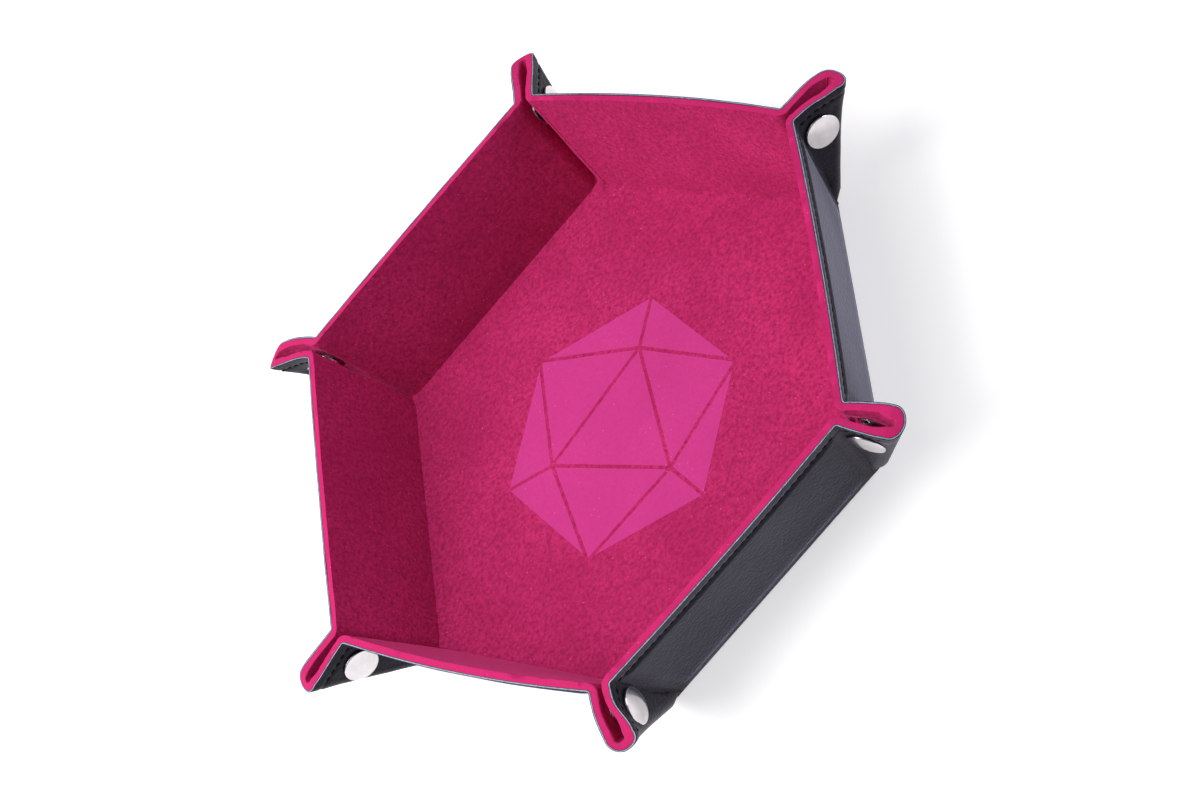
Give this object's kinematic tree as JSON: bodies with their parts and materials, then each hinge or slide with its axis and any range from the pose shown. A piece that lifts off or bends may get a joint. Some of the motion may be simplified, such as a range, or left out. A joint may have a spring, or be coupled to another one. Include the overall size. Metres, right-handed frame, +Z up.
{
  "type": "folding dice tray",
  "caption": "Hexagonal folding dice tray: a stiffened leather sheet lined with velvet, whose walls stand while its pinched corners are snapped and fold down flat when they are opened.",
  "frame": {"origin": "middle of the underside of the base", "axes": "+Z up out of the tray; wall 1 faces -Y and its fold line is along X, so corners 2 and 5 lie on +X and -X"},
  "size_m": [0.2624, 0.2314, 0.0457],
  "materials": {
    "leather": "fine pebble grain with a soft sheen",
    "velvet": "short pile velvet",
    "board": "raw greyboard",
    "snap_metal": "bright plated"
  },
  "bodies": {
    "base": {"base_cover": "leather", "base_board": "board", "base_lining": "velvet"},
    "wall_1": {"wall_1_cover": "leather", "wall_1_board": "board", "wall_1_lining": "velvet"},
    "wall_2": {"wall_2_cover": "leather", "wall_2_board": "board", "wall_2_lining": "velvet"},
    "wall_3": {"wall_3_cover": "leather", "wall_3_board": "board", "wall_3_lining": "velvet"},
    "wall_4": {"wall_4_cover": "leather", "wall_4_board": "board", "wall_4_lining": "velvet"},
    "wall_5": {"wall_5_cover": "leather", "wall_5_board": "board", "wall_5_lining": "velvet"},
    "wall_6": {"wall_6_cover": "leather", "wall_6_board": "board", "wall_6_lining": "velvet"},
    "socket_flap_1": {"socket_flap_1_cover": "leather", "socket_flap_1_lining": "velvet", "snap_socket_1": "snap_metal"},
    "stud_flap_1": {"stud_flap_1_cover": "leather", "stud_flap_1_lining": "velvet", "snap_stud_1": "snap_metal"},
    "socket_flap_2": {"socket_flap_2_cover": "leather", "socket_flap_2_lining": "velvet", "snap_socket_2": "snap_metal"},
    "stud_flap_2": {"stud_flap_2_cover": "leather", "stud_flap_2_lining": "velvet", "snap_stud_2": "snap_metal"},
    "socket_flap_3": {"socket_flap_3_cover": "leather", "socket_flap_3_lining": "velvet", "snap_socket_3": "snap_metal"},
    "stud_flap_3": {"stud_flap_3_cover": "leather", "stud_flap_3_lining": "velvet", "snap_stud_3": "snap_metal"},
    "socket_flap_4": {"socket_flap_4_cover": "leather", "socket_flap_4_lining": "velvet", "snap_socket_4": "snap_metal"},
    "stud_flap_4": {"stud_flap_4_cover": "leather", "stud_flap_4_lining": "velvet", "snap_stud_4": "snap_metal"},
    "socket_flap_5": {"socket_flap_5_cover": "leather", "socket_flap_5_lining": "velvet", "snap_socket_5": "snap_metal"},
    "stud_flap_5": {"stud_flap_5_cover": "leather", "stud_flap_5_lining": "velvet", "snap_stud_5": "snap_metal"},
    "socket_flap_6": {"socket_flap_6_cover": "leather", "socket_flap_6_lining": "velvet", "snap_socket_6": "snap_metal"},
    "stud_flap_6": {"stud_flap_6_cover": "leather", "stud_flap_6_lining": "velvet", "snap_stud_6": "snap_metal"}
  },
  "joints": [
    {"name": "wall_1_fold", "type": "hinge", "parent": "base", "child": "wall_1", "pos_m": [0, -0.08487, 0.003], "axis": [1, 0, 0], "range_deg": [0, 72]},
    {"name": "wall_2_fold", "type": "hinge", "parent": "base", "child": "wall_2", "pos_m": [0.0735, -0.04244, 0.003], "axis": [0.5, 0.866, 0], "range_deg": [0, 72]},
    {"name": "wall_3_fold", "type": "hinge", "parent": "base", "child": "wall_3", "pos_m": [0.0735, 0.04244, 0.003], "axis": [-0.5, 0.866, 0], "range_deg": [0, 72]},
    {"name": "wall_4_fold", "type": "hinge", "parent": "base", "child": "wall_4", "pos_m": [0, 0.08487, 0.003], "axis": [-1, 0, 0], "range_deg": [0, 72]},
    {"name": "wall_5_fold", "type": "hinge", "parent": "base", "child": "wall_5", "pos_m": [-0.0735, 0.04244, 0.003], "axis": [-0.5, -0.866, 0], "range_deg": [0, 72]},
    {"name": "wall_6_fold", "type": "hinge", "parent": "base", "child": "wall_6", "pos_m": [-0.0735, -0.04244, 0.003], "axis": [0.5, -0.866, 0], "range_deg": [0, 72]},
    {"name": "socket_flap_1_turn", "type": "hinge", "parent": "wall_1", "child": "socket_flap_1", "pos_m": [0.04595, -0.08778, 0.00227], "axis": [0.1383, -0.2396, 0.961], "range_deg": [0, 60]},
    {"name": "stud_flap_1_turn", "type": "hinge", "parent": "wall_2", "child": "stud_flap_1", "pos_m": [0.05305, -0.08368, 0.00227], "axis": [-0.1383, 0.2396, -0.961], "range_deg": [0, 60]},
    {"name": "socket_flap_2_turn", "type": "hinge", "parent": "wall_2", "child": "socket_flap_2", "pos_m": [0.09899, -0.0041, 0.00227], "axis": [0.2767, 0, 0.961], "range_deg": [0, 60]},
    {"name": "stud_flap_2_turn", "type": "hinge", "parent": "wall_3", "child": "stud_flap_2", "pos_m": [0.09899, 0.0041, 0.00227], "axis": [-0.2767, 0, -0.961], "range_deg": [0, 60]},
    {"name": "socket_flap_3_turn", "type": "hinge", "parent": "wall_3", "child": "socket_flap_3", "pos_m": [0.05305, 0.08368, 0.00227], "axis": [0.1383, 0.2396, 0.961], "range_deg": [0, 60]},
    {"name": "stud_flap_3_turn", "type": "hinge", "parent": "wall_4", "child": "stud_flap_3", "pos_m": [0.04595, 0.08778, 0.00227], "axis": [-0.1383, -0.2396, -0.961], "range_deg": [0, 60]},
    {"name": "socket_flap_4_turn", "type": "hinge", "parent": "wall_4", "child": "socket_flap_4", "pos_m": [-0.04595, 0.08778, 0.00227], "axis": [-0.1383, 0.2396, 0.961], "range_deg": [0, 60]},
    {"name": "stud_flap_4_turn", "type": "hinge", "parent": "wall_5", "child": "stud_flap_4", "pos_m": [-0.05305, 0.08368, 0.00227], "axis": [0.1383, -0.2396, -0.961], "range_deg": [0, 60]},
    {"name": "socket_flap_5_turn", "type": "hinge", "parent": "wall_5", "child": "socket_flap_5", "pos_m": [-0.09899, 0.0041, 0.00227], "axis": [-0.2767, 0, 0.961], "range_deg": [0, 60]},
    {"name": "stud_flap_5_turn", "type": "hinge", "parent": "wall_6", "child": "stud_flap_5", "pos_m": [-0.09899, -0.0041, 0.00227], "axis": [0.2767, 0, -0.961], "range_deg": [0, 60]},
    {"name": "socket_flap_6_turn", "type": "hinge", "parent": "wall_6", "child": "socket_flap_6", "pos_m": [-0.05305, -0.08368, 0.00227], "axis": [-0.1383, -0.2396, 0.961], "range_deg": [0, 60]},
    {"name": "stud_flap_6_turn", "type": "hinge", "parent": "wall_1", "child": "stud_flap_6", "pos_m": [-0.04595, -0.08778, 0.00227], "axis": [0.1383, 0.2396, -0.961], "range_deg": [0, 60]}
  ],
  "couplings": [
    {"joint": "wall_2_fold", "follows": "wall_1_fold", "ratio": 1},
    {"joint": "wall_3_fold", "follows": "wall_1_fold", "ratio": 1},
    {"joint": "wall_4_fold", "follows": "wall_1_fold", "ratio": 1},
    {"joint": "wall_5_fold", "follows": "wall_1_fold", "ratio": 1},
    {"joint": "wall_6_fold", "follows": "wall_1_fold", "ratio": 1},
    {"joint": "socket_flap_1_turn", "follows": "wall_1_fold", "ratio": 0.83},
    {"joint": "stud_flap_1_turn", "follows": "wall_1_fold", "ratio": 0.83},
    {"joint": "socket_flap_2_turn", "follows": "wall_1_fold", "ratio": 0.83},
    {"joint": "stud_flap_2_turn", "follows": "wall_1_fold", "ratio": 0.83},
    {"joint": "socket_flap_3_turn", "follows": "wall_1_fold", "ratio": 0.83},
    {"joint": "stud_flap_3_turn", "follows": "wall_1_fold", "ratio": 0.83},
    {"joint": "socket_flap_4_turn", "follows": "wall_1_fold", "ratio": 0.83},
    {"joint": "stud_flap_4_turn", "follows": "wall_1_fold", "ratio": 0.83},
    {"joint": "socket_flap_5_turn", "follows": "wall_1_fold", "ratio": 0.83},
    {"joint": "stud_flap_5_turn", "follows": "wall_1_fold", "ratio": 0.83},
    {"joint": "socket_flap_6_turn", "follows": "wall_1_fold", "ratio": 0.83},
    {"joint": "stud_flap_6_turn", "follows": "wall_1_fold", "ratio": 0.83}
  ]
}
